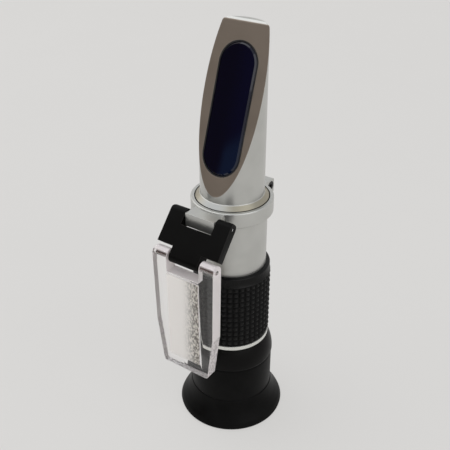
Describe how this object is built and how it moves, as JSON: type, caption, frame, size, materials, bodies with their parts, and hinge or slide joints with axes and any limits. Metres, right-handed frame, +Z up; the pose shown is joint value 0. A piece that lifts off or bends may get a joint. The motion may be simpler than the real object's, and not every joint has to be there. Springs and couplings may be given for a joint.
{
  "type": "handheld refractometer",
  "caption": "Handheld refractometer on its eyecup: bevelled prism head, daylight plate on a two-pin hinge link, knurled rubber grip and turning focus ring.",
  "frame": {"origin": "centre of the eyecup's rim, on the plane that the instrument stands on", "axes": "+Z up the barrel towards the prism head, -Y towards the hinge and the bevelled prism face, +X to the right of someone who looks at the prism"},
  "size_m": [0.0442, 0.0543, 0.165],
  "materials": {
    "barrel_aluminium": "satin turned aluminium",
    "head_aluminium": "satin aluminium, bead-blasted",
    "collar_aluminium": "satin turned aluminium",
    "trim_aluminium": "satin",
    "prism_glass": "polished, dark blue",
    "seal_black": "smooth moulded",
    "black_steel": "black oxide",
    "pin_steel": "ground",
    "spring_steel": "ground",
    "inner_brass": "blackened brass",
    "bimetal": "rolled strip",
    "lens_glass": "polished and coated",
    "reticle_glass": "polished",
    "grip_rubber": "matt moulded",
    "eyecup_rubber": "matt moulded",
    "focus_black": "satin black",
    "carrier_black": "matt black",
    "link_plastic": "matt black moulded",
    "clear_acrylic": "clear, with one frosted face"
  },
  "bodies": {
    "barrel": {"body_tube": "barrel_aluminium", "prism_head": "head_aluminium", "prism": "prism_glass", "prism_seal": "seal_black", "hinge_collar": "collar_aluminium", "collar_screw": "black_steel", "objective_cell": "inner_brass", "objective_lens": "lens_glass", "objective_retainer": "inner_brass", "bimetal_strip": "bimetal", "strip_rivets": "inner_brass", "reticle": "reticle_glass", "reticle_ring": "inner_brass", "reticle_retainer": "inner_brass", "grip_sleeve": "grip_rubber", "trim_ring": "trim_aluminium", "eyepiece_mount": "inner_brass", "focus_clip": "spring_steel"},
    "focus_ring": {"focus_ring": "focus_black", "eyecup": "eyecup_rubber"},
    "lens_carrier": {"lens_carrier": "carrier_black", "guide_screw": "pin_steel", "eye_lens": "lens_glass", "field_lens": "lens_glass", "lens_spacer": "carrier_black", "lens_retainer": "carrier_black"},
    "link": {"hinge_link": "link_plastic", "link_pin": "pin_steel"},
    "plate": {"daylight_plate": "clear_acrylic", "plate_pin": "pin_steel"}
  },
  "joints": [
    {"name": "focus_turn", "type": "hinge", "parent": "barrel", "child": "focus_ring", "pos_m": [0, 0, 0.0245], "axis": [0, 0, 1], "range_deg": [-100, 100]},
    {"name": "focus_slide", "type": "slide", "parent": "barrel", "child": "lens_carrier", "axis": [0, 0, 1], "range_m": [-0.0015, 0.0015]},
    {"name": "link_swing", "type": "hinge", "parent": "barrel", "child": "link", "pos_m": [0, -0.0187, 0.0993], "axis": [-1, 0, 0], "range_deg": [0, 158.9]},
    {"name": "plate_swing", "type": "hinge", "parent": "link", "child": "plate", "pos_m": [0, -0.0292, 0.08722], "axis": [-1, 0, 0], "range_deg": [-6, 39.8]}
  ],
  "couplings": [
    {"joint": "focus_slide", "follows": "focus_turn", "m_per_rad": -0.00085943}
  ]
}
